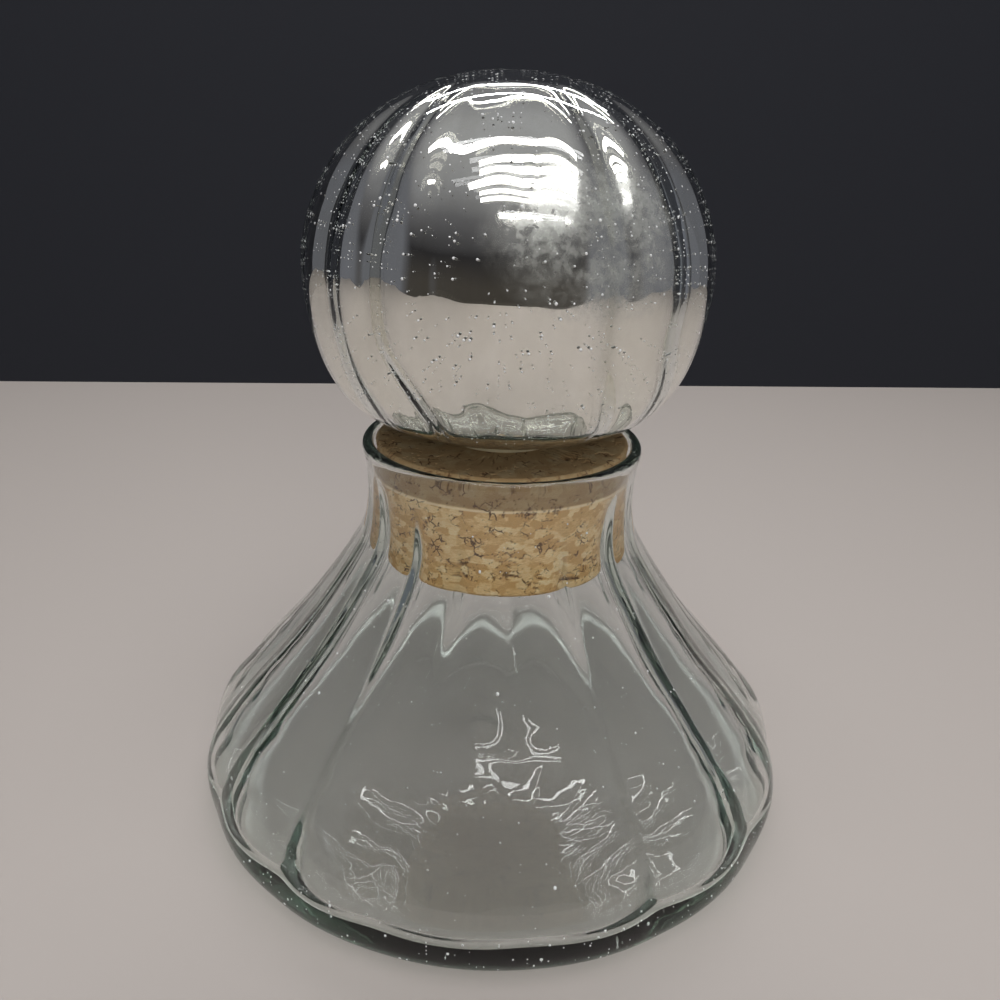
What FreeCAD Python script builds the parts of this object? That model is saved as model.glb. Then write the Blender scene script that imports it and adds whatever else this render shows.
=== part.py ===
"""Lidded glass canister: a squat optic-blown jar with a wide ribbed skirt and a short round neck,
closed by a tapered agglomerated cork whose handle is a hollow silvered glass ball.

Frame: millimetres, +Z up. The origin is on the jar's axis, in the plane that its foot rests on.

Two bodies. The jar is one blown glass shell. The stopper is the cork with the ball bonded into it:
the ball's open stem sits in a socket in the cork's top, a plug closes the stem's bore, an adhesive
collar fills the socket, and a silver film lines the ball.
"""

import FreeCAD
import Part
import math
import os

V = FreeCAD.Vector

# ---- driving dimensions ------------------------------------------------------------------------

RIBS = 16                   # optic ribs round the jar and round the ball
CONTROL_PER_RIB = 8         # control points that carry one rib round a ring
GROOVE_SOFTNESS = 0.28      # 0 gives a knife-sharp valley between two ribs, 1 a gentle wave
RINGS = 46                  # rings of control points along each wall

RIM_Z = 127.0               # top of the jar's rim, and of the cork
RIM_ROUND = 2.4             # height of the rim's fire-polished round
RIM_RADIUS = 45.7           # outside of the rim's bead
NECK_RADIUS = 44.2          # outside of the neck under the bead
NECK_LOW_Z = 106.0          # the neck is straight from here
NECK_HIGH_Z = 115.0         # to here
SKIRT_RADIUS = 102.7        # widest point of the jar
SKIRT_Z = 13.0              # its height
FOOT_RADIUS = 92.0          # outer edge of the flat foot ring
FLOOR_Z = 7.2               # thickness of the jar's floor
FLOOR_RADIUS = 86.0         # the floor is flat inside this radius, up to the pushed-up middle

OUTER_RIB_DEPTH = 2.4       # how far a valley lies inside the crests, outside the jar
INNER_RIB_DEPTH = 4.8       # the same on the inside, where the optic ribs are stronger

PUNT_RADIUS = 58.0          # edge of the pushed-up middle of the foot
PUNT_RISE = 3.4             # how far it rises over the surface that the jar stands on
PONTIL_RADIUS = 11.0        # ground-out scar where the pontil rod was cracked off
PONTIL_DEPTH = 0.8

CORK_BOTTOM_Z = 87.0
CORK_BOTTOM_RADIUS = 38.0
CORK_TOP_RADIUS = 41.6      # at RIM_Z, before the edge is broken
CORK_EDGE = 0.8             # chamfer round both ends
CORK_RELIEF_Z = 117.3       # above this the rim squeezes the cork
CORK_RELIEF = 0.3           # by this much
CORK_CLEARANCE = 0.3        # radial gap between cork and rim with the stopper fully home

BALL_RADIUS = 62.4
BALL_CENTRE_Z = 179.5
BALL_TOP_Z = 235.6
BALL_FULLNESS = 0.96        # under 1 makes the ball's upper half squarer than an ellipse
BALL_WALL = 2.4
BALL_OUTER_RIB = 0.35       # depth of the valleys outside the ball
BALL_INNER_RIB = 1.5        # and inside it, where the film lies
BALL_CAP_RADIUS = 2.0       # a small flat cap closes the crown

STEM_RADIUS = 13.0
STEM_BORE = 10.4
STEM_TOP_Z = 128.0          # the ball's underside turns into the stem here
STEM_END_Z = 104.0
SOCKET_FLOOR_Z = 102.5
SOCKET_GAP = 0.5            # radial room that the adhesive fills
COLLAR_RADIUS = 18.0        # outer edge of the adhesive bead between cork and ball

FILM = 0.2                  # silver film with its backing lacquer
FILM_EDGE_Z = 137.0         # the film stops here, and the ball's bottom stays clear
PLUG_RADIUS = 10.3
PLUG_TAPER = 0.4
PLUG_LENGTH = 9.0

OVERRUN = 1.0               # cutting tools run this far past what they cut


# ---- ribbed shells -----------------------------------------------------------------------------

def rib(angle):
    """1 on a rib's crest and 0 in the valley between two ribs."""
    wave = math.hypot(math.cos(RIBS * angle / 2), GROOVE_SOFTNESS)
    return (wave - GROOVE_SOFTNESS) / (math.hypot(1, GROOVE_SOFTNESS) - GROOVE_SOFTNESS)


def hill(x, start, peak, end):
    """A smooth hill over x: 0 up to start, 1 at peak, and 0 again from end on."""
    if x <= start or x >= end:
        return 0.0
    share = (x - start) / (peak - start) if x < peak else (end - x) / (end - peak)
    return share * share * (3 - 2 * share)


def ring(radius, z, depth=0.0):
    """One ring of control points, with its valleys depth inside its crests."""
    count = RIBS * CONTROL_PER_RIB
    points = []
    for i in range(count):
        angle = 2 * math.pi * i / count
        reach = radius - depth * (1 - rib(angle))
        points.append(V(reach * math.cos(angle), reach * math.sin(angle), z))
    return points


def sleeve(rings):
    """The smooth surface that the rings control, closed round the axis."""
    degree = 3
    around, length = len(rings[0]), len(rings)
    poles = [[each[i] for each in rings] for i in range(around)]
    spans = length - degree
    surface = Part.BSplineSurface()
    surface.buildFromPolesMultsKnots(
        poles,
        [1] * (around + 1), [degree + 1] + [1] * (spans - 1) + [degree + 1],
        [float(i) for i in range(around + 1)], [float(i) for i in range(spans + 1)],
        True, False, degree, degree)
    return surface.toShape()


def closed_sleeve(rings):
    """A sleeve with a flat cap on each of its two end rings, as one solid."""
    wall = sleeve(rings)
    ends = [edge for edge in wall.Edges if edge.isClosed() and edge.BoundBox.ZLength < 1e-6]
    caps = [Part.Face(Part.Wire(edge)) for edge in ends]
    shell = Part.Shell([wall] + caps)
    shell.sewShape()
    solid = Part.Solid(shell)
    if solid.Volume < 0:
        solid.reverse()
    return solid


def profile(points):
    """RINGS even steps along a smooth curve through (radius, z) points."""
    curve = Part.BSplineCurve()
    curve.interpolate([V(r, 0, z) for r, z in points])
    return [(p.x, p.z) for p in curve.toShape().discretize(Number=RINGS)]


def revolve(outline):
    """A solid of revolution from a closed (radius, z) outline."""
    corners = [V(r, 0, z) for r, z in outline]
    face = Part.Face(Part.makePolygon(corners + corners[:1]))
    return face.revolve(V(0, 0, 0), V(0, 0, 1), 360)


def disc(radius, low, high):
    """A plain round disc or bar on the axis."""
    return Part.makeCylinder(radius, high - low, V(0, 0, low))


def dome(radius, rise, base_z):
    """A shallow spherical cap that stands rise over base_z."""
    sphere_radius = (radius ** 2 + rise ** 2) / (2 * rise)
    sphere = Part.makeSphere(sphere_radius, V(0, 0, base_z + rise - sphere_radius))
    return sphere.common(disc(radius + OVERRUN, base_z, base_z + rise + OVERRUN))


# ---- the jar -----------------------------------------------------------------------------------

def cork_radius(z):
    """The cork's plain taper, without its relief or its chamfers."""
    share = (z - CORK_BOTTOM_Z) / (RIM_Z - CORK_BOTTOM_Z)
    return CORK_BOTTOM_RADIUS + share * (CORK_TOP_RADIUS - CORK_BOTTOM_RADIUS)


def jar_outside():
    """Foot, skirt, shoulder and neck up to the rim's round, as (radius, z) points."""
    return profile([
        (FOOT_RADIUS, 0.0), (97.0, 1.0), (101.0, 4.4), (SKIRT_RADIUS, SKIRT_Z), (98.8, 26.0),
        (89.7, 38.0), (68.9, 62.0), (51.8, 86.0), (46.3, 96.0), (NECK_RADIUS, NECK_LOW_Z),
        (NECK_RADIUS, NECK_HIGH_Z), (44.8, 120.5), (RIM_RADIUS, RIM_Z - RIM_ROUND)])


def jar_inside():
    """The neck's bore from the rim's round down, the shoulder, and the cavity's heel and floor."""
    seat = [(cork_radius(z) + CORK_CLEARANCE, z) for z in (RIM_Z - RIM_ROUND, CORK_RELIEF_Z)]
    return profile(seat + [
        (41.0, NECK_LOW_Z), (43.0, 95.0), (47.8, 86.0), (64.9, 62.0), (85.4, 38.0), (94.2, 26.0),
        (98.0, 15.0), (96.4, 10.0), (92.0, 7.6), (FLOOR_RADIUS, FLOOR_Z)])


def rim_top(outer, inner):
    """The round between the two walls' top radii, as (radius, z) points."""
    middle, half = (outer + inner) / 2, (outer - inner) / 2
    fullness = 1.08         # the control points stand this much over the rim, which runs inside them
    round_points = []
    for degrees in (30, 60, 90, 120, 150):
        angle = math.radians(degrees)
        height = RIM_ROUND * fullness * math.sin(angle)
        round_points.append((middle + half * math.cos(angle), RIM_Z - RIM_ROUND + height))
    return round_points


def glass_canister():
    """The jar, with ribs that fade out towards the foot and up into the neck."""
    outside, inside = jar_outside(), jar_inside()
    rings = [ring(r, z, OUTER_RIB_DEPTH * hill(z, -4.0, 34.0, 106.0)) for r, z in outside]
    rings += [ring(r, z) for r, z in rim_top(outside[-1][0], inside[0][0])]
    rings += [ring(r, z, INNER_RIB_DEPTH * hill(z, -16.0, 18.0, 104.0)) for r, z in inside]
    jar = closed_sleeve(rings)
    # The middle of the floor is pushed up, so that only a ring of glass touches the table.
    jar = jar.fuse(dome(PUNT_RADIUS, PUNT_RISE, FLOOR_Z)).cut(dome(PUNT_RADIUS, PUNT_RISE, 0.0))
    return jar.cut(disc(PONTIL_RADIUS, 0.0, PUNT_RISE + PONTIL_DEPTH))


# ---- the stopper -------------------------------------------------------------------------------

def cork_stopper():
    """The tapered cork, squeezed a little by the rim, with the stem's socket in its top."""
    low, high = CORK_BOTTOM_Z, RIM_Z
    relief_low, relief_high = CORK_RELIEF_Z, CORK_RELIEF_Z + CORK_RELIEF
    cork = revolve([
        (0, low), (CORK_BOTTOM_RADIUS - CORK_EDGE, low),
        (cork_radius(low + CORK_EDGE), low + CORK_EDGE), (cork_radius(relief_low), relief_low),
        (cork_radius(relief_high) - CORK_RELIEF, relief_high),
        (cork_radius(high - CORK_EDGE) - CORK_RELIEF, high - CORK_EDGE),
        (CORK_TOP_RADIUS - CORK_RELIEF - CORK_EDGE, high), (0, high)])
    return cork.cut(disc(STEM_RADIUS + SOCKET_GAP, SOCKET_FLOOR_Z, high + OVERRUN))


def ball_solid(shrink, rib_depth, stem_radius, end_z):
    """A closed solid of the ball and its stem, drawn in by shrink from the ball's outside."""
    reach, height = BALL_RADIUS - shrink, BALL_TOP_Z - shrink - BALL_CENTRE_Z
    crown_drop = BALL_CAP_RADIUS ** 2 / (2 * BALL_RADIUS)
    outline = [(BALL_CAP_RADIUS, BALL_CENTRE_Z + height - crown_drop)]
    for degrees in (66, 48, 32, 16, 0):
        angle = math.radians(degrees)
        outline.append((reach * math.cos(angle) ** BALL_FULLNESS,
                        BALL_CENTRE_Z + height * math.sin(angle) ** BALL_FULLNESS))
    belly = [(57.3, 154.0), (48.8, 140.6), (38.0, 134.8), (27.0, 132.0)]
    outline += [(r - shrink * 0.8, z + shrink * 0.6) for r, z in belly]
    outline += [(stem_radius + 3.0, 130.4 + shrink * 0.9), (stem_radius, STEM_TOP_Z)]
    rings = [ring(r, z, rib_depth * hill(z, STEM_TOP_Z, 146.0, BALL_TOP_Z))
             for r, z in profile(outline)]
    steps = 4
    rings += [ring(stem_radius, STEM_TOP_Z + (end_z - STEM_TOP_Z) * i / steps)
              for i in range(1, steps + 1)]
    return closed_sleeve(rings)


def glass_ball():
    """The ball with its open stem, ribbed inside and nearly smooth outside."""
    inside = ball_solid(BALL_WALL, BALL_INNER_RIB, STEM_BORE, STEM_END_Z - OVERRUN)
    return ball_solid(0.0, BALL_OUTER_RIB, STEM_RADIUS, STEM_END_Z).cut(inside)


def silver_lining():
    """A film on the ball's inner wall, open at the bottom."""
    back = ball_solid(BALL_WALL, BALL_INNER_RIB, STEM_BORE, STEM_END_Z)
    front = ball_solid(BALL_WALL + FILM, BALL_INNER_RIB, STEM_BORE - FILM, STEM_END_Z - OVERRUN)
    return back.cut(front).cut(disc(BALL_RADIUS, STEM_END_Z - OVERRUN, FILM_EDGE_Z))


def stem_plug():
    """The plug that keeps air off the film, pushed into the stem's end."""
    return Part.makeCone(PLUG_RADIUS, PLUG_RADIUS - PLUG_TAPER, PLUG_LENGTH, V(0, 0, STEM_END_Z))


def adhesive_collar():
    """Clear adhesive that fills the socket round the stem, with a bead between cork and ball."""
    filling = disc(STEM_RADIUS + SOCKET_GAP, SOCKET_FLOOR_Z, RIM_Z)
    bead = disc(COLLAR_RADIUS, RIM_Z, BALL_CENTRE_Z)
    return filling.fuse(bead).cut(ball_solid(0.0, BALL_OUTER_RIB, STEM_RADIUS, STEM_END_Z))


def main():
    os.makedirs("parts", exist_ok=True)
    for make in (glass_canister, cork_stopper, glass_ball, silver_lining, stem_plug, adhesive_collar):
        shape = make()
        print(make.__name__, len(shape.Solids), "solids", round(shape.Volume, 1), "mm3")
        if len(shape.Solids) != 1 or not shape.isValid():
            raise RuntimeError(make.__name__ + " is not one valid solid")
        shape.Solids[0].exportStep("parts/" + make.__name__ + ".step")


main()
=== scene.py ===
"""Looks for the lidded glass canister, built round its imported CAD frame.

The outlines below are (radius, height) points in millimetres in the row frame, with +Z up and the
origin under the middle of the jar's foot. wrap() turns them into meshes in metres.
"""

import bpy
import bmesh
import math
import random
import numpy as np
from mathutils import Matrix, Vector, noise


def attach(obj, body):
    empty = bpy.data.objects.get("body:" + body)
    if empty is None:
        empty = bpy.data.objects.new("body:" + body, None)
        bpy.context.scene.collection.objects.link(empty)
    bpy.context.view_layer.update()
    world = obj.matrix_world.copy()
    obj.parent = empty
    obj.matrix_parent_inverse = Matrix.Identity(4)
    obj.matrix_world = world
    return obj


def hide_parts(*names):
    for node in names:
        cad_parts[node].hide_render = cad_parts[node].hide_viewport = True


MM = 0.001
TURN = 2 * math.pi

# ---- the jar -----------------------------------------------------------------------------------

RIBS = 16
# How many degrees each groove of the jar sits off its even place, counted from +X towards +Y.
JAR_GROOVE_SHIFTS = (2, -3, 1, 3, -2, -1, 2, 1, -2, -6, -5, -7, -5, -3, 1, 3)
# How deep each groove is, as a share of the full depth: low on the wall, and up towards the neck.
JAR_LOW_DEPTHS = (1.0, 0.8, 1.1, 0.9, 1.0, 1.2, 0.8, 1.0, 1.1, 1.15, 0.95, 0.40, 0.30, 0.95, 1.2, 1.0)
JAR_HIGH_DEPTHS = (1.0, 0.9, 1.1, 0.9, 1.0, 1.1, 0.9, 1.0, 1.1, 1.1, 1.15, 1.25, 1.1, 1.0, 1.1, 1.0)
JAR_DEPTH_CHANGE = (52, 86)   # heights between which the low depths turn into the high ones
OUTER_GROOVE = 2.3          # depth of the outer grooves at full strength
# How deep the inner grooves are, as (height, depth).
INNER_GROOVE = [(7, 2.2), (18, 4.4), (38, 4.2), (62, 3.6), (86, 2.8), (98, 1.9), (108, 0.8), (119, 0.0)]
JAR_COLUMNS = 320
WALL_STEP = 1.55            # spacing of the rows of vertices along a wall
FLOOR_STEP = 4.0            # spacing of the rings under the foot and on the jar's floor

FOOT_OUTLINE = [(92.0, 0.0), (97.0, 1.0), (101.0, 4.4), (102.5, 13.0), (98.8, 26.0), (89.7, 38.0),
                (68.9, 62.0), (51.8, 86.0), (46.3, 96.0), (44.2, 106.0), (44.2, 115.0),
                (44.8, 120.5), (45.6, 124.6)]
CAVITY_OUTLINE = [(41.7, 124.6), (41.1, 117.3), (41.0, 106.0), (43.0, 95.0), (47.8, 86.0),
                  (64.9, 62.0), (85.4, 38.0), (94.2, 26.0), (98.0, 15.0), (96.4, 10.0), (92.0, 7.6),
                  (86.0, 7.2)]
RIM_TOP = 127.0
PUNT_RADIUS, PUNT_RISE = 58.0, 3.4
PONTIL_RINGS = (3.0, 5.5, 8.0, 9.4, 10.4, 11.2)      # radii of the vertices round the scar
PONTIL_DEPTH, PONTIL_EDGE = 0.35, (7.5, 11.6)        # the scar's hollow, and where it runs out
PUNT_START = 12.4

# ---- the ball ----------------------------------------------------------------------------------

# Shifts and depths of its grooves low on the belly, and from the equator up.
BALL_LOW_SHIFTS = np.array([2, 3, 3, 0, 2, -1, 1, 2, 0, 3, 9, 5, 0, 5, 8, 5])
BALL_HIGH_SHIFTS = np.array([-2, 1, 3, -1, 2, -3, 1, 2, -3, 3, -3, -6, -5, -5, -2, 2])
BALL_LOW_DEPTHS = np.array([1.0, 0.9, 1.1, 0.8, 1.0, 1.1, 0.9, 1.0, 1.0, 1.1, 1.3, 0.35, 0.3, 1.2, 1.1, 1.0])
BALL_HIGH_DEPTHS = np.array([0.9, 0.5, 1.1, 0.7, 0.9, 1.1, 0.5, 0.9, 1.0, 1.1, 1.25, 0.35, 0.3, 1.3, 1.1,
                             0.8])
BALL_TWIST = (140, 172)     # heights between which the low pattern turns into the high one
# How deep the ball's inner grooves are, as (height, depth). The outer ones are a share of that.
BALL_GROOVE = [(131, 0.2), (139, 1.4), (147, 1.6), (165, 1.1), (190, 1.1), (205, 1.4), (218, 1.1),
               (230, 0.0)]
BALL_COLUMNS = 256
BALL_RADIUS, BALL_CENTRE, BALL_TOP = 62.3, 179.5, 235.5
BALL_FULLNESS = 0.96        # under 1 makes the upper half squarer than an ellipse
BALL_WALL = 2.4
STEM_RADIUS, STEM_BORE, STEM_TOP, STEM_END = 12.98, 10.42, 128.0, 104.0
FILM_GAP, FILM_THICKNESS = 0.04, 0.14
FILM_EDGE = 138.3           # height of the film's edge where a groove draws it down
FILM_SCALLOP = 3.2          # how much higher its arches between the grooves are
# How far each groove draws the film's edge down: at 0 the arch runs on across it.
FILM_TONGUES = (1.0, 0.9, 1.1, 0.8, 1.0, 1.1, 0.9, 1.0, 1.0, 1.1, 1.3, 0.0, 0.0, 1.2, 1.1, 1.0)
FILM_ROWS = 150
WORN_PATCH = Vector((24, -52, 195)) * MM     # the middle of the cloudy patch, in metres
WORN_CORE, WORN_REACH = 0.012, 0.033         # it fades out between these distances from its middle

# ---- the cork ----------------------------------------------------------------------------------

CORK_BOTTOM, CORK_TOP = 87.0, 126.95
CORK_BOTTOM_RADIUS, CORK_TOP_RADIUS = 38.0, 41.5
CORK_SEAT = 117.3           # the rim touches the cork above this
CORK_COLUMNS = 640
CORK_STEP = 0.42            # spacing of the rows of vertices over the cork
CRACK_DEPTH = 0.55
SOCKET_RADIUS, SOCKET_FLOOR = 13.5, 102.5
GRANULE = Vector((3.4, 3.4, 2.2))      # mean size of a granule
GRAIN_SEED = 7              # without it, noise_vector() starts from the clock

# ---- camera, stage and light -------------------------------------------------------------------

CAMERA_BACK, CAMERA_HEIGHT = 0.2817, 0.2195
CAMERA_PITCH, CAMERA_ROLL = 0.390, 0.035
CAMERA_LENS, CAMERA_SENSOR = 32.4, 36.0
FLOOR_FRONT, FLOOR_BACK, FLOOR_HALF_WIDTH = -0.8, 0.536, 1.6
BACK_SLANT = 0.107          # how much farther the back edge is for each metre to the right
FLOOR_LEVEL = -0.0003       # a hair under the foot, so that the glass has air beneath it
BACKDROP_HEIGHT, BACKDROP_HALF_WIDTH = 0.65, 1.2
FLOOR_COLOUR, BACKDROP_COLOUR = (0.45, 0.405, 0.375), (0.0136, 0.0152, 0.0212)
LAMP_HEIGHT = 1.3
LAMP_TARGET = Vector((0, 0, 0.1))      # the strips are tipped towards this point


# ---- outlines and meshes -----------------------------------------------------------------------

def smooth_curve(points, step):
    """Even steps along a smooth curve through (radius, height) points, as a radius and a height array."""
    points = np.array(points, float)
    gaps = np.sqrt(np.linalg.norm(np.diff(points, axis=0), axis=1))
    knots = np.concatenate([[0], np.cumsum(gaps)])
    slopes = np.gradient(points, knots, axis=0)
    fine = []
    for i, gap in enumerate(gaps):
        t = np.linspace(0, 1, 40, endpoint=i == len(gaps) - 1)[:, None]
        fine.append((2 * t**3 - 3 * t**2 + 1) * points[i] + (t**3 - 2 * t**2 + t) * gap * slopes[i]
                    + (3 * t**2 - 2 * t**3) * points[i + 1] + (t**3 - t**2) * gap * slopes[i + 1])
    fine = np.concatenate(fine)
    length = np.concatenate([[0], np.cumsum(np.linalg.norm(np.diff(fine, axis=0), axis=1))])
    even = np.linspace(0, length[-1], max(4, round(length[-1] / step) + 1))
    return np.interp(even, length, fine[:, 0]), np.interp(even, length, fine[:, 1])


def smoothstep(x, low, high):
    """0 below low, 1 above high, and a smooth ramp between them."""
    share = np.clip((x - low) / (high - low), 0, 1)
    return share * share * (3 - 2 * share)


def hill(x, start, peak, end):
    """0 up to start, 1 at peak and 0 again from end on."""
    return smoothstep(x, start, peak) * (1 - smoothstep(x, peak, end))


def along(height, table):
    """The value at each height of a table of (height, value) pairs."""
    return np.interp(height, *zip(*table))


def angles_of(columns):
    """Even angles round a turn."""
    return np.arange(columns) * TURN / columns


def grooves(angles, shifts, depths, softness):
    """How deep the groove pattern is at each angle: 0 on a crest, and a groove's depth share in it.

    A softness of 0 makes each groove a sharp crease."""
    places = np.radians(np.arange(RIBS) + 0.5) * 360 / RIBS
    shift = np.interp(angles, places + np.radians(shifts), np.radians(shifts), period=TURN)
    depth = np.interp(angles, places + np.radians(shifts), depths, period=TURN)
    wave = np.hypot(np.cos(RIBS * (angles - shift) / 2), softness)
    crest = math.hypot(1, softness)
    return depth * (crest - wave) / (crest - softness)


def rolling(radius, height, angles, size, seed):
    """Slow random unevenness over a wall, from -1 to 1, on bumps of that size."""
    x, y = radius * np.cos(angles), radius * np.sin(angles)
    z = np.broadcast_to(height, x.shape)
    offset = Vector((seed * 7.1, seed * 3.7, seed * 5.3))
    flat = [noise.noise(Vector(p) / size + offset) for p in zip(x.flat, y.flat, z.flat)]
    return np.array(flat).reshape(x.shape)


def new_piece(name, points, faces):
    """A mesh object in the scene, from points in metres."""
    mesh = bpy.data.meshes.new(name)
    mesh.from_pydata(points, [], faces)
    piece = bpy.data.objects.new(name, mesh)
    bpy.context.scene.collection.objects.link(piece)
    return piece


def finish_piece(piece, body):
    """The piece, smooth and riding on its body."""
    piece.data.shade_smooth()
    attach(piece, body)
    return piece


def wrap(name, radius, height, angles):
    """A closed mesh of rings between two poles. radius and height are arrays of rows by columns.

    With radius to the right and height up, the rows run with the piece's outside on their right."""
    rows, columns = radius.shape
    points = np.stack([radius * np.cos(angles), radius * np.sin(angles), height], -1).reshape(-1, 3)
    here = np.arange(rows - 1)[:, None] * columns + np.arange(columns)
    beside = np.roll(here, -1, axis=1)
    faces = np.stack([here, beside, beside + columns, here + columns], -1).reshape(-1, 4).tolist()
    ring, onward = here[0], beside[0]
    last = (rows - 1) * columns
    centres = [[0, 0, height[0].mean()], [0, 0, height[-1].mean()]]
    faces += [[len(points), b, a] for a, b in zip(ring.tolist(), onward.tolist())]
    faces += [[len(points) + 1, last + a, last + b] for a, b in zip(ring.tolist(), onward.tolist())]
    points = np.vstack([points, centres])
    return new_piece(name, (points * MM).tolist(), faces)


def spread(row_values, columns):
    """The same value all round each row."""
    return np.repeat(np.asarray(row_values, float)[:, None], columns, axis=1)


def rim_round(outer, inner, low, steps=9):
    """The rim's fire-polished top between two radii, as a radius and a height array."""
    middle, half = (outer + inner) / 2, (outer - inner) / 2
    a = np.linspace(0, math.pi, steps + 2)[1:-1]
    return middle + half * np.cos(a), low + (RIM_TOP - low) * np.sin(a)


# ---- the jar's mesh ----------------------------------------------------------------------------

def jar_grooves(heights, angles, softness):
    """The jar's groove pattern at each height and angle: its low pattern turning into its high one."""
    low = grooves(angles, JAR_GROOVE_SHIFTS, JAR_LOW_DEPTHS, softness)
    high = grooves(angles, JAR_GROOVE_SHIFTS, JAR_HIGH_DEPTHS, softness)
    share = smoothstep(heights, *JAR_DEPTH_CHANGE)[:, None]
    return low * (1 - share) + high * share


def jar_walls(angles):
    """The outer and inner wall, each as a radius and a height array of rows by columns."""
    outer_r, outer_z = smooth_curve(FOOT_OUTLINE, WALL_STEP)
    inner_r, inner_z = smooth_curve(CAVITY_OUTLINE, WALL_STEP)
    columns = len(angles)
    outer = spread(outer_r, columns)
    strength = OUTER_GROOVE * hill(outer_z, start=-6, peak=34, end=108)[:, None]
    outer -= strength * jar_grooves(outer_z, angles, softness=0.45)
    waves = rolling(outer, outer_z[:, None], angles, size=34, seed=1)
    outer += 0.35 * (hill(outer_z, start=3, peak=50, end=122)[:, None] * waves)
    inner = spread(inner_r, columns)
    inner -= along(inner_z, INNER_GROOVE)[:, None] * jar_grooves(inner_z, angles, softness=0.2)
    waves = 0.55 * rolling(inner, inner_z[:, None], angles, size=21, seed=2)
    waves += 0.14 * rolling(inner, inner_z[:, None] * 1.8, angles, size=9, seed=3)
    inner += waves * hill(inner_z, start=7, peak=40, end=112)[:, None]
    return outer, spread(outer_z, columns), inner, spread(inner_z, columns)


def jar():
    """The blown jar: underside with punt and pontil, foot, wall, rim, inner wall and floor."""
    angles = angles_of(JAR_COLUMNS)
    outer, outer_z, inner, inner_z = jar_walls(angles)
    scar_r = np.array(PONTIL_RINGS)
    scar_z = PUNT_RISE + PONTIL_DEPTH * (1 - smoothstep(scar_r, *PONTIL_EDGE))
    punt_r = np.arange(PUNT_START, PUNT_RADIUS, FLOOR_STEP)
    punt_z = PUNT_RISE * (1 - (punt_r / PUNT_RADIUS) ** 2)
    foot_r = np.arange(PUNT_RADIUS, FOOT_OUTLINE[0][0] - 1, FLOOR_STEP)
    under_r = np.concatenate([scar_r, punt_r, foot_r])
    under_z = np.concatenate([scar_z, punt_z, foot_r * 0])
    floor_edge, floor_level = CAVITY_OUTLINE[-1]
    floor_r = np.arange(floor_edge - FLOOR_STEP, 1, -FLOOR_STEP)
    dome_z = np.clip(1 - (floor_r / PUNT_RADIUS) ** 2, 0, 1) * PUNT_RISE
    floor_z = floor_level + dome_z
    rim_r, rim_z = rim_round(outer[-1].mean(), inner[0].mean(), FOOT_OUTLINE[-1][1])
    under_r, rim_r, floor_r = (spread(row, JAR_COLUMNS) for row in (under_r, rim_r, floor_r))
    under_z, rim_z, floor_z = (spread(row, JAR_COLUMNS) for row in (under_z, rim_z, floor_z))
    radius = np.vstack([under_r, outer, rim_r, inner, floor_r])
    height = np.vstack([under_z, outer_z, rim_z, inner_z, floor_z])
    on_floor = slice(len(height) - len(floor_r), None)
    height[on_floor] += 0.25 * rolling(radius[on_floor], height[on_floor], angles, size=26, seed=4)
    piece = wrap("blown_jar", radius, height, angles)
    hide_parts("glass_canister")
    return finish_piece(piece, "canister")


# ---- the ball's meshes -------------------------------------------------------------------------

def ball_outline(shrink):
    """The ball from its crown to the top of its stem, drawn in by shrink from the outside."""
    reach, rise = BALL_RADIUS - shrink, BALL_TOP - shrink - BALL_CENTRE
    outline = [(1.5, BALL_TOP - shrink - 0.02)]
    for degrees in (80, 66, 48, 32, 16, 0):
        a = math.radians(degrees)
        outline.append((reach * math.cos(a) ** BALL_FULLNESS,
                        BALL_CENTRE + rise * math.sin(a) ** BALL_FULLNESS))
    belly = [(57.2, 154.0), (48.6, 140.6), (38.0, 134.9), (27.0, 132.1)]
    return outline + [(r - shrink * 0.8, z + shrink * 0.6) for r, z in belly]


def ball_wall(shrink, depth, softness, stem_radius, columns, step):
    """One wall of the ball down to its stem, as a radius and a height array, and its angles.

    depth is its share of the full grooves."""
    throat = [(stem_radius + 3.0, 130.5 + shrink * 0.9), (stem_radius, STEM_TOP)]
    r, z = smooth_curve(ball_outline(shrink) + throat, step)
    angles = angles_of(columns)
    pattern = []
    for share in smoothstep(z, *BALL_TWIST):
        shifts = BALL_LOW_SHIFTS + share * (BALL_HIGH_SHIFTS - BALL_LOW_SHIFTS)
        depths = BALL_LOW_DEPTHS * (1 - share) + BALL_HIGH_DEPTHS * share
        pattern.append(grooves(angles, shifts, depths, softness + 0.2 * share))
    radius = spread(r, columns) - depth * along(z, BALL_GROOVE)[:, None] * np.array(pattern)
    return radius, spread(z, columns), angles


def ball_outside(step):
    """The ball's outer wall, which the grooves hardly mark."""
    return ball_wall(0, 0.2, 0.6, STEM_RADIUS, BALL_COLUMNS, step)


def ball_inside(columns, step):
    """The ball's inner wall, deeply grooved and with the unevenness of mouth-blown glass."""
    radius, height, angles = ball_wall(BALL_WALL, 1.0, 0.25, STEM_BORE, columns, step)
    swell = 0.16 * rolling(radius, height, angles, size=19, seed=5)
    swell += 0.05 * rolling(radius, height, angles, size=8, seed=6)
    radius += swell * smoothstep(height, STEM_TOP + 4, 142) * (1 - smoothstep(height, 226, 232))
    return radius, height, angles


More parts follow.
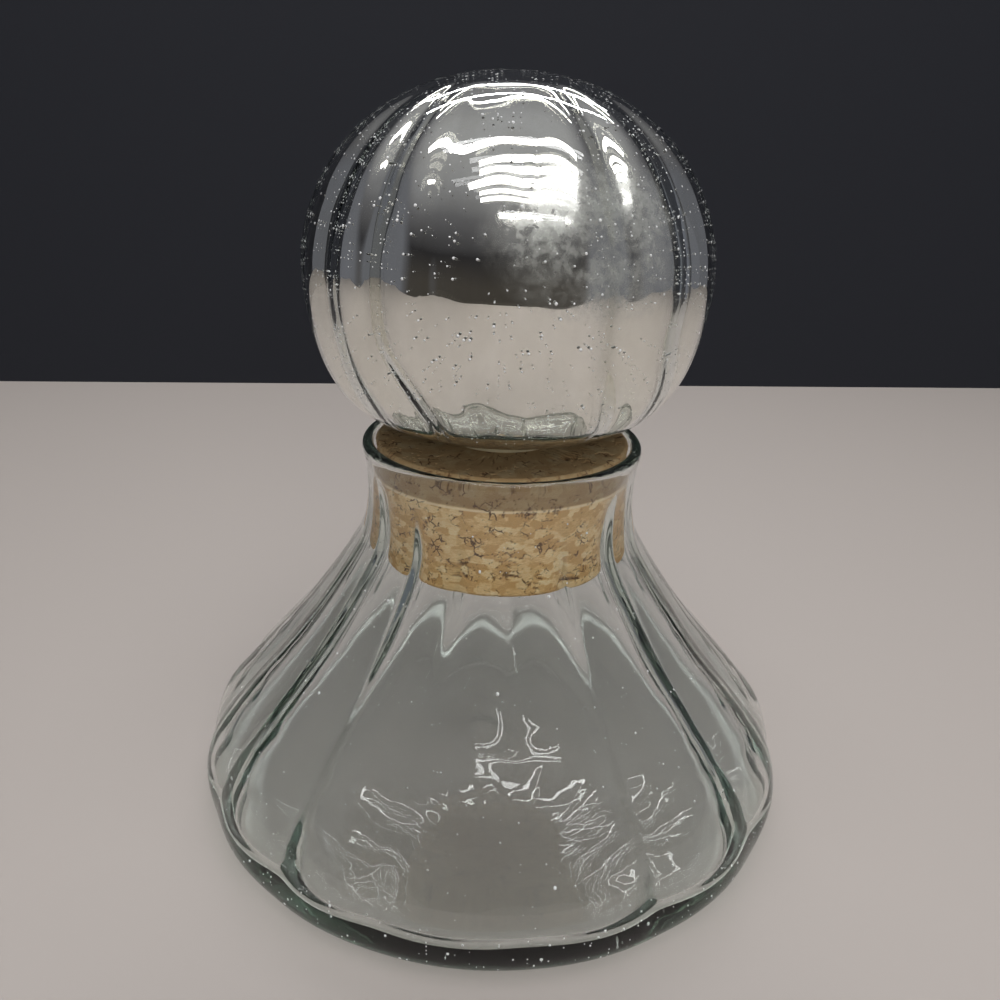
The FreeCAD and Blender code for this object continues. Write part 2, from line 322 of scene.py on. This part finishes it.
def ball():
    """The hollow ball and its open stem, as one wall of glass with two faces."""
    step = 1.6
    outside, outside_z, angles = ball_outside(step)
    inside, inside_z, _ = ball_inside(BALL_COLUMNS, step)
    stem_z = spread(np.linspace(STEM_TOP - 3, STEM_END, 8), BALL_COLUMNS)
    stem, bore = np.full_like(stem_z, STEM_RADIUS), np.full_like(stem_z, STEM_BORE)
    radius = np.vstack([outside, stem, bore, inside[::-1]])
    height = np.vstack([outside_z, stem_z, stem_z[::-1], inside_z[::-1]])
    piece = wrap("blown_ball", radius[::-1], height[::-1], angles)
    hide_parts("glass_ball")
    return finish_piece(piece, "stopper")


def film():
    """The silver film on the ball's inner wall, with a scalloped lower edge."""
    columns = BALL_COLUMNS * 2
    wall, wall_z, angles = ball_inside(columns, 1.0)
    lobes = 1 - np.clip(grooves(angles, BALL_LOW_SHIFTS, FILM_TONGUES, softness=0.3), 0, 1)
    ragged = np.array([noise.noise(Vector((3 * math.cos(a), 3 * math.sin(a), 0.5))) for a in angles])
    edge = FILM_EDGE + FILM_SCALLOP * smoothstep(lobes, 0.05, 0.7) + 0.4 * ragged
    # Each column of the wall is cut at the edge and divided into the same number of rows.
    last = np.array([np.argmax(column < level) for column, level in zip(wall_z.T, edge)])
    share = np.linspace(0, 1, FILM_ROWS)[:, None] * last
    low, part = share.astype(int), share % 1
    each = np.arange(columns)
    front = wall[low, each] * (1 - part) + wall[low + 1, each] * part
    front_z = wall_z[low, each] * (1 - part) + wall_z[low + 1, each] * part
    faces = []
    for inset in (FILM_GAP, FILM_GAP + FILM_THICKNESS):
        shrunk = 1 - inset / BALL_RADIUS
        faces.append((front * shrunk, BALL_CENTRE + (front_z - BALL_CENTRE) * shrunk))
    radius = np.vstack([faces[0][0], faces[1][0][::-1]])
    height = np.vstack([faces[0][1], faces[1][1][::-1]])
    piece = wrap("silver_film", radius[::-1], height[::-1], angles)
    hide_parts("silver_lining")
    return finish_piece(piece, "stopper")


# ---- the cork's mesh ---------------------------------------------------------------------------

def cork_outline():
    """The cork from the middle of its bottom, up its side, over its top and down its socket."""
    def side(z):
        return np.interp(z, (CORK_BOTTOM, CORK_TOP), (CORK_BOTTOM_RADIUS, CORK_TOP_RADIUS))
    edge, squeeze = 0.8, 0.35
    return [(1.0, CORK_BOTTOM), (side(CORK_BOTTOM) - edge, CORK_BOTTOM),
            (side(CORK_BOTTOM) - 0.1, CORK_BOTTOM + edge), (side(CORK_SEAT - 0.6), CORK_SEAT - 0.6),
            (side(CORK_SEAT), CORK_SEAT), (side(CORK_SEAT) - squeeze, CORK_SEAT + 0.4),
            (side(CORK_TOP) - squeeze, CORK_TOP - edge), (side(CORK_TOP) - squeeze - edge, CORK_TOP),
            (SOCKET_RADIUS + 0.3, CORK_TOP), (SOCKET_RADIUS, CORK_TOP - 0.3),
            (SOCKET_RADIUS, SOCKET_FLOOR), (1.0, SOCKET_FLOOR)]


def straight_runs(outline, step):
    """Even steps along straight runs, with every corner kept."""
    points = [outline[0]]
    for a, b in zip(outline, outline[1:]):
        count = max(1, round(math.dist(a, b) / step))
        points += [(a[0] + (b[0] - a[0]) * i / count, a[1] + (b[1] - a[1]) * i / count)
                   for i in range(1, count + 1)]
    return np.array(points)


def cork_grain(x, y, z):
    """(granule tone, crack) at a point: the granule's own shade, and how much the point lies in a gap."""
    place = Vector((x / GRANULE.x, y / GRANULE.y, z / GRANULE.z))
    warp = noise.noise_vector(place * 1.3) * 0.25 + noise.noise_vector(place * 4.0) * 0.07
    distances, centres = noise.voronoi(place + warp)
    tone = noise.cell(centres[0] * 13.7)
    border = distances[1] - distances[0]
    open_here = noise.noise(place * 0.55 + Vector((9, 4, 2))) + 0.45 * noise.noise(place * 2.1)
    width = 0.15 * max(0.0, open_here - 0.10)
    crack = 1 - min(1.0, border / width) if width > 0 else 0.0
    pore = noise.noise(place * 5.5)
    speck = min(1.0, max(0.0, pore - 0.58) * 8)
    return tone, max(crack ** 0.6, speck)


def cork():
    """The agglomerated cork, with its open cracks and pores sunk into its faces."""
    noise.seed_set(GRAIN_SEED)
    outline = straight_runs(cork_outline(), CORK_STEP)
    # The middle of its faces and its socket are hardly seen, so they keep every fifth row only.
    seen = outline[:, 0] >= 30
    outline = outline[seen | (np.arange(len(outline)) % 5 == 0)]
    slope = np.gradient(outline, axis=0)
    slope /= np.linalg.norm(slope, axis=1)[:, None]
    angles = angles_of(CORK_COLUMNS)
    radius, height = spread(outline[:, 0], CORK_COLUMNS), spread(outline[:, 1], CORK_COLUMNS)
    x, y = radius * np.cos(angles), radius * np.sin(angles)
    grain = np.array([cork_grain(*p) for p in zip(x.flat, y.flat, height.flat)])
    tone, crack = grain[:, 0], grain[:, 1]
    sunk = CRACK_DEPTH * crack.reshape(radius.shape) * (outline[:, 0] > 20)[:, None]
    radius -= sunk * slope[:, 1][:, None]
    height += sunk * slope[:, 0][:, None]
    piece = wrap("cork", radius, height, angles)
    for name, values in (("granule", tone), ("crack", crack)):
        attribute = piece.data.attributes.new(name, "FLOAT", "POINT")
        attribute.data.foreach_set("value", np.concatenate([values, [0.5, 0.5]]).astype(np.float32))
    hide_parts("cork_stopper")
    return finish_piece(piece, "stopper")


# ---- seeds in the glass ------------------------------------------------------------------------

def seed_bubbles(name, places, body):
    """Small gas bubbles in the glass. places holds (centre in mm, radius in mm, stretch along Z)."""
    shape = bmesh.new()
    bmesh.ops.create_icosphere(shape, subdivisions=2, radius=1)
    corners = np.array([v.co for v in shape.verts])
    triangles = np.array([[v.index for v in f.verts] for f in shape.faces])
    shape.free()
    points, faces = [], []
    for i, (centre, radius, stretch) in enumerate(places):
        points.append(corners * (radius, radius, radius * stretch) + centre)
        faces.append(triangles + i * len(corners))
    piece = new_piece(name, (np.concatenate(points) * MM).tolist(), np.concatenate(faces).tolist())
    return finish_piece(piece, body)


def polar(radius, angle, height):
    """The point at a radius and an angle round the axis."""
    return np.array([radius * math.cos(angle), radius * math.sin(angle), height])


def jar_seeds():
    """Seeds all over the skirt, more of them in the heel, and some in the floor."""
    rng = random.Random(11)
    angles = angles_of(JAR_COLUMNS)
    outer, outer_z, _, _ = jar_walls(angles)
    places = []
    in_skirt, in_heel, in_floor = 420, 360, 180
    while len(places) < in_skirt:
        row = int((rng.random() ** 1.7) * (len(outer) - 12)) + 4
        column = rng.randrange(JAR_COLUMNS)
        r, z, a = outer[row, column], outer_z[row, column], angles[column]
        if not (3 < z < 122):
            continue
        depth = rng.uniform(0.9, 2.2)
        size = min(0.5, 0.13 + rng.expovariate(11))
        places.append((polar(r - depth, a, z), size, rng.uniform(1.0, 1.5)))
    while len(places) < in_skirt + in_heel:
        row, column = rng.randrange(2, 16), rng.randrange(JAR_COLUMNS)
        r, z, a = outer[row, column], outer_z[row, column], angles[column]
        centre = polar(r - rng.uniform(0.7, 2.4), a, max(z, 1.6))
        places.append((centre, min(0.45, 0.11 + rng.expovariate(12)), 1.0))
    while len(places) < in_skirt + in_heel + in_floor:
        r, a = 98 * math.sqrt(rng.random()), rng.uniform(0, TURN)
        centre = polar(r, a, rng.uniform(4.4, 6.2))
        places.append((centre, min(0.5, 0.15 + rng.expovariate(10)), 0.8))
    return seed_bubbles("jar_seeds", places, "canister")


def ball_seeds():
    """Seeds in the ball's wall, denser towards its crown, with none in its throat."""
    rng = random.Random(23)
    outside, outside_z, angles = ball_outside(1.0)
    places, count = [], 2300
    while len(places) < count:
        row = int((rng.random() ** 1.35) * (len(outside) - 40)) + 3
        column = rng.randrange(BALL_COLUMNS)
        r, z, a = outside[row, column], outside_z[row, column], angles[column]
        if rng.random() > r / BALL_RADIUS or z < 133:
            continue
        depth = rng.uniform(0.6, 1.7)
        surface = polar(r, a, z)
        inward = np.array([0, 0, BALL_CENTRE]) - surface
        centre = surface + inward / np.linalg.norm(inward) * depth
        places.append((centre, min(0.45, 0.15 + rng.expovariate(13)), 1.0))
    return seed_bubbles("ball_seeds", places, "stopper")


# ---- materials ---------------------------------------------------------------------------------

def new_material(name):
    """A material with an empty tree but for its output and one Principled shader."""
    material = bpy.data.materials.new(name)
    material.use_nodes = True
    tree = material.node_tree
    tree.nodes.clear()
    output = tree.nodes.new("ShaderNodeOutputMaterial")
    shader = tree.nodes.new("ShaderNodeBsdfPrincipled")
    tree.links.new(shader.outputs[0], output.inputs["Surface"])
    return material, tree, shader, output


def add(tree, kind, inputs=None, **settings):
    """A node with its settings and inputs. An input is a value, or an output socket to link."""
    node = tree.nodes.new("ShaderNode" + kind)
    for key, value in settings.items():
        setattr(node, key, value)
    for key, value in (inputs or {}).items():
        if isinstance(value, bpy.types.NodeSocket):
            tree.links.new(value, node.inputs[key])
        else:
            node.inputs[key].default_value = value
    return node


def maths(tree, operation, *values):
    """The result of one Math node."""
    return add(tree, "Math", dict(enumerate(values)), operation=operation).outputs[0]


def object_place(tree, scale=(1, 1, 1)):
    """Points in the object's own metres, times scale."""
    place = add(tree, "TexCoord").outputs["Object"]
    return add(tree, "Mapping", {"Vector": place, "Scale": scale}).outputs[0]


def noise_value(tree, place, scale, detail=2.0, roughness=0.5):
    """Noise from 0 to 1. scale is in bumps to the metre."""
    return add(tree, "TexNoise", {"Vector": place, "Scale": scale, "Detail": detail,
                                  "Roughness": roughness}).outputs[0]


def ramp(tree, value, stops):
    """A colour ramp. stops holds (place, colour) pairs."""
    node = add(tree, "ValToRGB", {"Fac": value})
    elements = node.color_ramp.elements
    while len(elements) < len(stops):
        elements.new(0.5)
    for element, (place, colour) in zip(elements, stops):
        element.position = place
        element.color = (*colour, 1)
    return node.outputs[0]


def spread_value(tree, value, low, high, to_low, to_high):
    """value, carried from the range low to high into the range to_low to to_high."""
    node = add(tree, "MapRange", {"Value": value, "From Min": low, "From Max": high,
                                  "To Min": to_low, "To Max": to_high})
    return node.outputs[0]


def mix_colour(tree, factor, a, b):
    """Colour a where factor is 0 and b where it is 1. Either is a colour or an output socket."""
    node = add(tree, "Mix", data_type="RGBA")
    for key, value in ((0, factor), (6, a), (7, b)):
        if isinstance(value, bpy.types.NodeSocket):
            tree.links.new(value, node.inputs[key])
        else:
            node.inputs[key].default_value = value if key == 0 else (*value, 1)
    return node.outputs[2]


def bump(tree, height, strength, distance):
    """The normal of a surface with that relief. distance is in metres."""
    return add(tree, "Bump", {"Height": height, "Strength": strength, "Distance": distance}).outputs[0]


def glass(name, tint, density, ripple, foot_wear=0.0):
    """Fire-polished glass with a body tint, a faint ripple and a few hazy touches.

    foot_wear is how rough the ring is that it stands on."""
    material, tree, shader, output = new_material(name)
    shader.inputs["Base Color"].default_value = (1, 1, 1, 1)
    shader.inputs["Transmission Weight"].default_value = 1.0
    shader.inputs["IOR"].default_value = 1.5
    place = object_place(tree)
    haze = noise_value(tree, place, 28, 4)
    high = add(tree, "SeparateXYZ", {0: place}).outputs["Z"]
    out = add(tree, "VectorMath", {0: object_place(tree, (1, 1, 0))}, operation="LENGTH")
    ring = spread_value(tree, out.outputs["Value"], 84 * MM, 88 * MM, 0.0, foot_wear)
    low = spread_value(tree, high, 0.3 * MM, 0.9 * MM, 1.0, 0.0)
    worn = maths(tree, "MULTIPLY", ring, low)
    touched = spread_value(tree, haze, 0.55, 0.8, 0.0, 0.035)
    tree.links.new(maths(tree, "MAXIMUM", touched, worn), shader.inputs["Roughness"])
    waves = noise_value(tree, object_place(tree, (1, 1, 0.55)), 75, 1.5)
    tree.links.new(bump(tree, waves, ripple, 0.0006), shader.inputs["Normal"])
    absorb = add(tree, "VolumeAbsorption", {"Color": (*tint, 1), "Density": density})
    tree.links.new(absorb.outputs[0], output.inputs["Volume"])
    let_lamps_through(tree, shader, output, share=0.85)
    return material


def let_lamps_through(tree, shader, output, share):
    """Light on its way to a matt surface crosses the glass straight, to what stands inside and under it."""
    path = add(tree, "LightPath").outputs
    straight = maths(tree, "MAXIMUM", path["Is Shadow Ray"], path["Is Diffuse Ray"])
    clear = add(tree, "BsdfTransparent", {"Color": (share, share, share, 1)})
    mix = add(tree, "MixShader", {0: straight, 1: shader.outputs[0], 2: clear.outputs[0]})
    tree.links.new(mix.outputs[0], output.inputs["Surface"])


def seed_material():
    """A gas bubble's wall in matt white, a painted highlight for the glints a clear bubble reflects."""
    material, tree, shader, _ = new_material("seed_bubble")
    # painted highlight: white, lit by the lamps, in place of the bubble's reflected glints
    shader.inputs["Base Color"].default_value = (1, 1, 1, 1)
    shader.inputs["Transmission Weight"].default_value = 0.05
    shader.inputs["IOR"].default_value = 1.5
    uneven = noise_value(tree, object_place(tree), 900)
    tree.links.new(spread_value(tree, uneven, 0.3, 0.7, 0.05, 0.25), shader.inputs["Roughness"])
    return material


def silver_material():
    """Silvering seen through glass: bright, mottled, and worn to a cloudy patch on one side."""
    material, tree, shader, _ = new_material("silvering")
    place = object_place(tree)
    blotch = noise_value(tree, place, 38, 5, 0.6)
    fine = noise_value(tree, place, 420, 4, 0.65)
    streak = noise_value(tree, object_place(tree, (1.4, 1.4, 0.4)), 95, 5, 0.6)
    # The worn patch is wider than it is high, and its cloud is blotchy and grainy.
    flatter = 1.6
    middle = (WORN_PATCH.x, WORN_PATCH.y, WORN_PATCH.z * flatter)
    away = add(tree, "VectorMath", {0: object_place(tree, (1, 1, flatter)), 1: middle}, operation="DISTANCE")
    near = spread_value(tree, away.outputs["Value"], WORN_CORE, WORN_REACH, 1.0, 0.0)
    cloud = maths(tree, "MULTIPLY", near, spread_value(tree, blotch, 0.38, 0.55, 0.0, 1.0))
    worn = maths(tree, "MULTIPLY", cloud, spread_value(tree, fine, 0.38, 0.62, 0.30, 1.0))
    clean = ramp(tree, streak, [(0.3, (0.88, 0.86, 0.79)), (0.7, (0.97, 0.955, 0.905))])
    tree.links.new(mix_colour(tree, worn, clean, (0.42, 0.43, 0.40)), shader.inputs["Base Color"])
    tree.links.new(spread_value(tree, worn, 0.0, 1.0, 1.0, 0.15), shader.inputs["Metallic"])
    base_rough = spread_value(tree, blotch, 0.35, 0.75, 0.004, 0.03)
    tree.links.new(maths(tree, "MULTIPLY_ADD", worn, 0.38, base_rough), shader.inputs["Roughness"])
    return material


def cork_material():
    """Honey-coloured granules, with painted shade in the gaps and pores between them."""
    material, tree, shader, _ = new_material("agglomerated_cork")
    place = object_place(tree)
    granule = add(tree, "Attribute", attribute_name="granule").outputs["Fac"]
    gap = add(tree, "Attribute", attribute_name="crack").outputs["Fac"]
    fibre = noise_value(tree, object_place(tree, (1, 1, 3)), 900, 4, 0.6)
    patch = noise_value(tree, place, 130, 3)
    tone = maths(tree, "MULTIPLY_ADD", granule, 0.5, spread_value(tree, fibre, 0.3, 0.7, 0.0, 0.5))
    honey = ramp(tree, tone, [(0.05, (0.66, 0.40, 0.16)), (0.35, (0.82, 0.56, 0.26)),
                              (0.65, (0.92, 0.69, 0.37)), (0.95, (0.97, 0.81, 0.52))])
    warm = mix_colour(tree, spread_value(tree, patch, 0.45, 0.7, 0.0, 0.35), honey, (0.66, 0.38, 0.14))
    # Above the seat the cork's colour is darkened, a painted shade of the gap under the rim, and a pale line
    # along its pressed edge is a painted highlight.
    high = add(tree, "SeparateXYZ", {0: add(tree, "TexCoord").outputs["Object"]}).outputs["Z"]
    painted_shade_above_seat = spread_value(tree, high, CORK_SEAT * MM, (CORK_SEAT + 0.5) * MM, 0.0, 0.7)
    off_line = maths(tree, "ABSOLUTE", maths(tree, "SUBTRACT", high, (CORK_SEAT - 0.2) * MM))
    pale = spread_value(tree, off_line, 0.2 * MM, 0.55 * MM, 0.7, 0.0)
    # painted shade above the seat, then a painted highlight along it
    warm = mix_colour(tree, painted_shade_above_seat, warm, (0.25, 0.175, 0.095))
    warm = mix_colour(tree, pale, warm, (0.95, 0.80, 0.55))
    # Hairline cracks, finer than the gaps in the mesh, run along the borders of small granules; like the
    # gaps and pores, they are darkened with painted shade.
    warp = add(tree, "TexNoise", {"Vector": place, "Scale": 420.0, "Detail": 2.0})
    bent = add(tree, "VectorMath", {0: warp.outputs[1], 1: (0.0022, 0.0022, 0.0022), 2: place},
               operation="MULTIPLY_ADD").outputs[0]
    border = add(tree, "TexVoronoi", {"Vector": bent, "Scale": 330.0}, feature="DISTANCE_TO_EDGE")
    line = spread_value(tree, border.outputs["Distance"], 0.02, 0.08, 1.0, 0.0)
    some = spread_value(tree, noise_value(tree, place, 210, 3), 0.54, 0.62, 0.0, 1.0)
    crack = maths(tree, "MAXIMUM", maths(tree, "MULTIPLY", line, some), gap)
    # painted shade: the gaps, pores and hairline cracks take a dark brown, as shade falls in them
    dark = mix_colour(tree, crack, warm, (0.115, 0.052, 0.022))
    tree.links.new(dark, shader.inputs["Base Color"])
    tree.links.new(spread_value(tree, fibre, 0.3, 0.7, 0.72, 0.92), shader.inputs["Roughness"])
    relief = maths(tree, "MULTIPLY_ADD", crack, -1.5, fibre)
    tree.links.new(bump(tree, relief, 0.5, 0.0003), shader.inputs["Normal"])
    return material


def plain_material(name, colour, roughness, grain):
    """A hidden piece's own material: one colour, a little uneven."""
    material, tree, shader, _ = new_material(name)
    value = noise_value(tree, object_place(tree), grain, 3)
    darker = tuple(c * 0.85 for c in colour)
    tree.links.new(ramp(tree, value, [(0.3, darker), (0.7, colour)]), shader.inputs["Base Color"])
    tree.links.new(spread_value(tree, value, 0.3, 0.7, roughness, roughness + 0.12),
                   shader.inputs["Roughness"])
    return material


def paint(piece, material):
    """Gives a piece its one material."""
    piece.data.materials.clear()
    piece.data.materials.append(material)


# ---- stage, light and camera -------------------------------------------------------------------

def panel(name, corners, colour, roughness):
    """A flat stage panel with one plain colour."""
    piece = new_piece(name, corners, [(0, 1, 2, 3)])
    material, _, shader, _ = new_material(name)
    shader.inputs["Base Color"].default_value = (*colour, 1)
    shader.inputs["Roughness"].default_value = roughness
    paint(piece, material)
    return piece


def stage():
    """A plain pale floor with a plain dark backdrop along its back edge."""
    def at_back(x, height):
        return x, FLOOR_BACK + BACK_SLANT * x, height
    w, b, low, top = FLOOR_HALF_WIDTH, BACKDROP_HALF_WIDTH, FLOOR_LEVEL, BACKDROP_HEIGHT
    floor = [(-w, FLOOR_FRONT, low), (w, FLOOR_FRONT, low), at_back(w, low), at_back(-w, low)]
    upright = [at_back(-b, low), at_back(b, low), at_back(b, top), at_back(-b, top)]
    panel("floor", floor, FLOOR_COLOUR, 0.55)
    panel("backdrop", upright, BACKDROP_COLOUR, 0.8).visible_shadow = False


def area_lamp(name, place, length, width, power, tilt):
    """A lamp that faces down, with its length along X, tipped by tilt towards the back."""
    lamp = bpy.data.lights.new(name, "AREA")
    lamp.shape, lamp.size, lamp.size_y, lamp.energy = "RECTANGLE", length, width, power
    holder = bpy.data.objects.new(name, lamp)
    holder.location = place
    holder.rotation_euler = (tilt, 0, 0)
    bpy.context.scene.collection.objects.link(holder)
    return holder


def strip_lamp(name, x, y, length, power, apart, tube):
    """Two parallel tubes overhead, that far apart, which share the power."""
    for side in (-0.5, 0.5):
        place = Vector((x, y + side * apart, LAMP_HEIGHT))
        aim = LAMP_TARGET - place
        area_lamp(name, place, length, tube, power / 2, math.atan2(aim.y, -aim.z))


def lights():
    """Six long pairs of tubes overhead, from behind the object to behind the camera, and a soft fill."""
    strip_lamp("strip_behind", 0.00, 0.95, 1.20, 8.5, apart=0.34, tube=0.035)
    strip_lamp("strip_over", 0.03, -0.07, 1.15, 3.3, apart=0.06, tube=0.045)
    strip_lamp("strip_second", 0.15, -0.38, 1.05, 3.2, apart=0.13, tube=0.075)
    strip_lamp("strip_third", 0.05, -0.60, 1.30, 1.8, apart=0.07, tube=0.05)
    strip_lamp("strip_front", 0.20, -0.84, 1.25, 1.6, apart=0.13, tube=0.065)
    strip_lamp("strip_far", 0.35, -1.25, 0.80, 1.0, apart=0.06, tube=0.018)
    fill = area_lamp("fill", (0.25, -1.9, 0.85), 1.2, 0.7, 15.0, math.radians(68))
    fill.visible_glossy = fill.visible_transmission = False


def room():
    """A dim room: darkest just above the horizon, palest overhead, grey to the left and right."""
    world = bpy.data.worlds.new("room")
    world.use_nodes = True
    tree = world.node_tree
    way = add(tree, "SeparateXYZ", {0: add(tree, "TexCoord").outputs["Generated"]}).outputs
    height = spread_value(tree, way["Z"], -1, 1, 0, 1)
    shade = ramp(tree, height, [(0.48, (0.05, 0.045, 0.04)), (0.66, (0.024, 0.023, 0.025)),
                                (0.80, (0.11, 0.11, 0.12)), (0.97, (0.32, 0.325, 0.34))])
    wall = spread_value(tree, maths(tree, "ABSOLUTE", way["X"]), 0.66, 0.80, 0.0, 1.0)
    shade = mix_colour(tree, wall, shade, (0.125, 0.130, 0.150))
    tree.links.new(shade, tree.nodes["Background"].inputs["Color"])
    bpy.context.scene.world = world


def camera():
    """The camera stands close in front of the object and looks down on it, a little rolled."""
    data = bpy.data.cameras.new("camera")
    data.lens, data.sensor_width = CAMERA_LENS, CAMERA_SENSOR
    data.clip_start, data.clip_end = 0.01, 20
    holder = bpy.data.objects.new("camera", data)
    bpy.context.scene.collection.objects.link(holder)
    forward = Vector((0, math.cos(CAMERA_PITCH), -math.sin(CAMERA_PITCH)))
    level, upright = Vector((1, 0, 0)), Vector((0, math.sin(CAMERA_PITCH), math.cos(CAMERA_PITCH)))
    right = level * math.cos(CAMERA_ROLL) + upright * math.sin(CAMERA_ROLL)
    up = right.cross(forward)
    turn = Matrix((right, up, -forward)).transposed()
    holder.matrix_world = Matrix.Translation((0, -CAMERA_BACK, CAMERA_HEIGHT)) @ turn.to_4x4()
    bpy.context.scene.camera = holder


# ---- everything --------------------------------------------------------------------------------

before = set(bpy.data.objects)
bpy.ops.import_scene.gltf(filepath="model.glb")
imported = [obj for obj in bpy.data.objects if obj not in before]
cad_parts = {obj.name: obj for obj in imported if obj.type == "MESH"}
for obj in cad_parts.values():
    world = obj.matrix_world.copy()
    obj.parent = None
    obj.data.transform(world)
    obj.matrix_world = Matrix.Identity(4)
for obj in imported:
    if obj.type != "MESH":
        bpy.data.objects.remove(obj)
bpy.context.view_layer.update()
camera()
stage()
lights()
room()

jar_glass = glass("jar_glass", (0.62, 0.74, 0.66), 22, 0.25, foot_wear=0.2)
ball_glass = glass("ball_glass", (0.66, 0.76, 0.70), 20, 0.10)
paint(jar(), jar_glass)
paint(ball(), ball_glass)
paint(film(), silver_material())
paint(cork(), cork_material())
bubble = seed_material()
paint(jar_seeds(), bubble)
paint(ball_seeds(), bubble)
paint(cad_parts["stem_plug"], plain_material("plug", (0.60, 0.58, 0.50), 0.5, 300))
paint(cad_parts["adhesive_collar"], plain_material("adhesive", (0.52, 0.44, 0.28), 0.25, 200))

bpy.context.scene.view_settings.view_transform = "Standard"
cycles = bpy.context.scene.cycles
cycles.max_bounces, cycles.transmission_bounces, cycles.glossy_bounces = 24, 20, 12
cycles.transparent_max_bounces = 24
cycles.caustics_reflective = cycles.caustics_refractive = False
